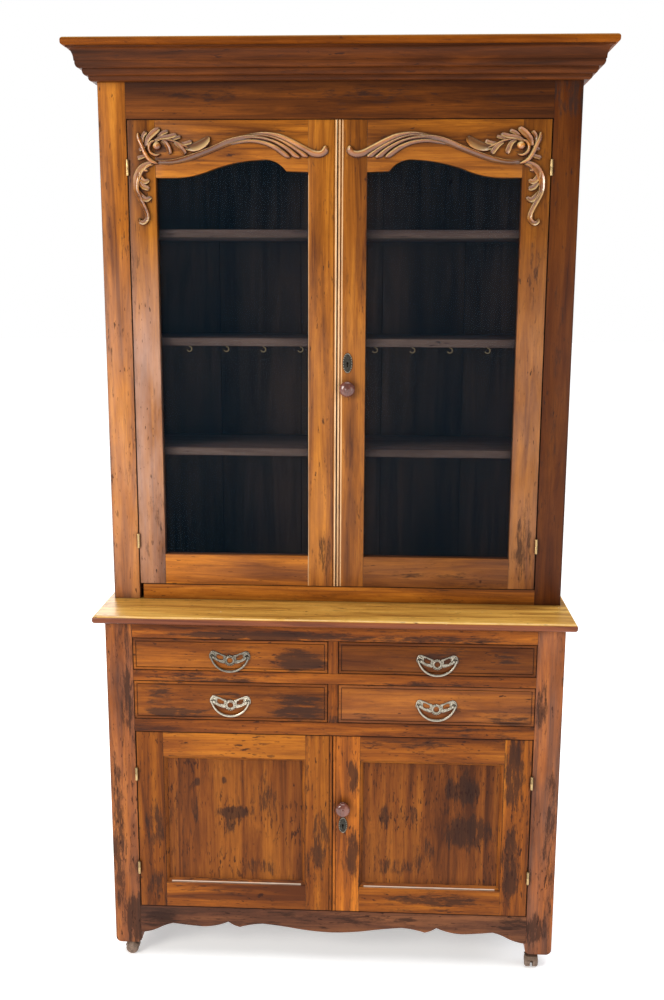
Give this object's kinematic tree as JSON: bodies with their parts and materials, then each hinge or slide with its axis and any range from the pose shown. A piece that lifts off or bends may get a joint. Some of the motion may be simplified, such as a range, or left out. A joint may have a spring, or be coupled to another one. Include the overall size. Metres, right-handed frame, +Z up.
{
  "type": "step back cupboard",
  "caption": "Step back cupboard on casters: glazed doors with carved scrolls under a deep cornice, over drawers with bail pulls and panelled doors.",
  "frame": {"origin": "on the floor under the middle of the whole cupboard", "axes": "+X to the right of someone facing the doors, +Y towards the back, +Z up"},
  "size_m": [1.236, 0.458, 2.225],
  "materials": {
    "case_wood": "worn satin varnish",
    "apron_wood": "worn satin varnish",
    "counter_wood": "worn satin varnish",
    "upper_case_wood": "satin varnish",
    "frieze_wood": "satin varnish",
    "cornice_wood": "satin varnish",
    "inside_wood": "bare, darkened",
    "door_wood": "satin varnish",
    "lower_door_wood": "worn satin varnish",
    "panel_wood": "worn satin varnish",
    "carved_wood": "satin varnish",
    "drawer_wood": "worn satin varnish",
    "knob_wood": "gloss varnish",
    "glass": "old window glass",
    "brass": "aged",
    "pull_metal": "aged, darkened in the recesses",
    "caster_iron": "rubbed brown",
    "caster_wheel": "worn"
  },
  "bodies": {
    "case": {"corner_posts": "case_wood", "lower_side_panels": "case_wood", "drawer_rails_and_muntins": "case_wood", "scalloped_apron": "apron_wood", "cupboard_floor": "inside_wood", "back_boards": "inside_wood", "drawer_runners": "inside_wood", "counter_top": "counter_wood", "caster_sockets": "caster_iron", "upper_stiles": "upper_case_wood", "upper_bottom_rail": "upper_case_wood", "frieze_rail": "frieze_wood", "upper_carcass_boards": "upper_case_wood", "cup_hooks": "brass", "upper_shelves": "inside_wood", "shelf_cleats": "inside_wood", "cornice": "cornice_wood", "case_hinge_leaves": "brass"},
    "left_upper_door": {"left_upper_door_frame": "door_wood", "left_upper_door_glass": "glass", "left_carved_scroll": "carved_wood", "left_upper_door_hinges": "brass"},
    "left_lower_door": {"left_lower_door_frame": "lower_door_wood", "left_lower_door_panel": "panel_wood", "left_lower_door_hinges": "brass"},
    "right_upper_door": {"right_upper_door_frame": "door_wood", "right_upper_door_glass": "glass", "right_carved_scroll": "carved_wood", "right_upper_door_hinges": "brass", "upper_door_knob": "knob_wood", "upper_door_lock": "brass"},
    "right_lower_door": {"right_lower_door_frame": "lower_door_wood", "right_lower_door_panel": "panel_wood", "right_lower_door_hinges": "brass", "lower_door_knob": "knob_wood", "lower_door_lock": "brass"},
    "upper_lock_bolt": {"upper_lock_bolt": "brass"},
    "lower_lock_bolt": {"lower_lock_bolt": "brass"},
    "left_upper_flush_bolt": {"left_upper_flush_bolt": "brass"},
    "left_lower_flush_bolt": {"left_lower_flush_bolt": "brass"},
    "top_left_drawer": {"top_left_drawer": "drawer_wood", "top_left_pull_plate": "pull_metal"},
    "top_left_bail": {"top_left_bail": "pull_metal"},
    "top_right_drawer": {"top_right_drawer": "drawer_wood", "top_right_pull_plate": "pull_metal"},
    "top_right_bail": {"top_right_bail": "pull_metal"},
    "bottom_left_drawer": {"bottom_left_drawer": "drawer_wood", "bottom_left_pull_plate": "pull_metal"},
    "bottom_left_bail": {"bottom_left_bail": "pull_metal"},
    "bottom_right_drawer": {"bottom_right_drawer": "drawer_wood", "bottom_right_pull_plate": "pull_metal"},
    "bottom_right_bail": {"bottom_right_bail": "pull_metal"},
    "front_left_caster": {"front_left_caster": "caster_iron"},
    "front_left_caster_wheels": {"front_left_caster_wheels": "caster_wheel"},
    "front_right_caster": {"front_right_caster": "caster_iron"},
    "front_right_caster_wheels": {"front_right_caster_wheels": "caster_wheel"},
    "rear_left_caster": {"rear_left_caster": "caster_iron"},
    "rear_left_caster_wheels": {"rear_left_caster_wheels": "caster_wheel"},
    "rear_right_caster": {"rear_right_caster": "caster_iron"},
    "rear_right_caster_wheels": {"rear_right_caster_wheels": "caster_wheel"}
  },
  "joints": [
    {"name": "left_upper_door_hinge", "type": "hinge", "parent": "case", "child": "left_upper_door", "pos_m": [-0.4878, -0.0765, 1.502], "axis": [0, 0, -1], "range_deg": [0, 150]},
    {"name": "right_upper_door_hinge", "type": "hinge", "parent": "case", "child": "right_upper_door", "pos_m": [0.4878, -0.0765, 1.502], "axis": [0, 0, 1], "range_deg": [0, 150]},
    {"name": "left_lower_door_hinge", "type": "hinge", "parent": "case", "child": "left_lower_door", "pos_m": [-0.4838, -0.1945, 0.374], "axis": [0, 0, -1], "range_deg": [0, 150]},
    {"name": "right_lower_door_hinge", "type": "hinge", "parent": "case", "child": "right_lower_door", "pos_m": [0.4838, -0.1945, 0.374], "axis": [0, 0, 1], "range_deg": [0, 150]},
    {"name": "upper_lock_bolt_slide", "type": "slide", "parent": "right_upper_door", "child": "upper_lock_bolt", "axis": [-1, 0, 0], "range_m": [0, 0.009]},
    {"name": "left_upper_flush_bolt_slide", "type": "slide", "parent": "left_upper_door", "child": "left_upper_flush_bolt", "axis": [0, 0, 1], "range_m": [0, 0.012]},
    {"name": "lower_lock_bolt_slide", "type": "slide", "parent": "right_lower_door", "child": "lower_lock_bolt", "axis": [-1, 0, 0], "range_m": [0, 0.009]},
    {"name": "left_lower_flush_bolt_slide", "type": "slide", "parent": "left_lower_door", "child": "left_lower_flush_bolt", "axis": [0, 0, 1], "range_m": [0, 0.012]},
    {"name": "top_left_drawer_slide", "type": "slide", "parent": "case", "child": "top_left_drawer", "axis": [0, -1, 0], "range_m": [0, 0.3]},
    {"name": "top_left_bail_swing", "type": "hinge", "parent": "top_left_drawer", "child": "top_left_bail", "pos_m": [-0.249, -0.196, 0.8055], "axis": [-1, 0, 0], "range_deg": [0, 110]},
    {"name": "top_right_drawer_slide", "type": "slide", "parent": "case", "child": "top_right_drawer", "axis": [0, -1, 0], "range_m": [0, 0.3]},
    {"name": "top_right_bail_swing", "type": "hinge", "parent": "top_right_drawer", "child": "top_right_bail", "pos_m": [0.249, -0.196, 0.8055], "axis": [-1, 0, 0], "range_deg": [0, 110]},
    {"name": "bottom_left_drawer_slide", "type": "slide", "parent": "case", "child": "bottom_left_drawer", "axis": [0, -1, 0], "range_m": [0, 0.3]},
    {"name": "bottom_left_bail_swing", "type": "hinge", "parent": "bottom_left_drawer", "child": "bottom_left_bail", "pos_m": [-0.249, -0.196, 0.692], "axis": [-1, 0, 0], "range_deg": [0, 110]},
    {"name": "bottom_right_drawer_slide", "type": "slide", "parent": "case", "child": "bottom_right_drawer", "axis": [0, -1, 0], "range_m": [0, 0.3]},
    {"name": "bottom_right_bail_swing", "type": "hinge", "parent": "bottom_right_drawer", "child": "bottom_right_bail", "pos_m": [0.249, -0.196, 0.692], "axis": [-1, 0, 0], "range_deg": [0, 110]},
    {"name": "front_left_caster_swivel", "type": "hinge", "parent": "case", "child": "front_left_caster", "pos_m": [-0.502, -0.1685, 0.045], "axis": [0, 0, 1], "continuous": true},
    {"name": "front_left_wheels_roll", "type": "hinge", "parent": "front_left_caster", "child": "front_left_caster_wheels", "pos_m": [-0.512, -0.1685, 0.0155], "axis": [0, 1, 0], "continuous": true},
    {"name": "front_right_caster_swivel", "type": "hinge", "parent": "case", "child": "front_right_caster", "pos_m": [0.502, -0.1685, 0.045], "axis": [0, 0, 1], "continuous": true},
    {"name": "front_right_wheels_roll", "type": "hinge", "parent": "front_right_caster", "child": "front_right_caster_wheels", "pos_m": [0.502, -0.1785, 0.0155], "axis": [1, 0, 0], "continuous": true},
    {"name": "rear_left_caster_swivel", "type": "hinge", "parent": "case", "child": "rear_left_caster", "pos_m": [-0.502, 0.2065, 0.045], "axis": [0, 0, 1], "continuous": true},
    {"name": "rear_left_wheels_roll", "type": "hinge", "parent": "rear_left_caster", "child": "rear_left_caster_wheels", "pos_m": [-0.492, 0.2065, 0.0155], "axis": [0, 1, 0], "continuous": true},
    {"name": "rear_right_caster_swivel", "type": "hinge", "parent": "case", "child": "rear_right_caster", "pos_m": [0.502, 0.2065, 0.045], "axis": [0, 0, 1], "continuous": true},
    {"name": "rear_right_wheels_roll", "type": "hinge", "parent": "rear_right_caster", "child": "rear_right_caster_wheels", "pos_m": [0.502, 0.1965, 0.0155], "axis": [1, 0, 0], "continuous": true}
  ]
}
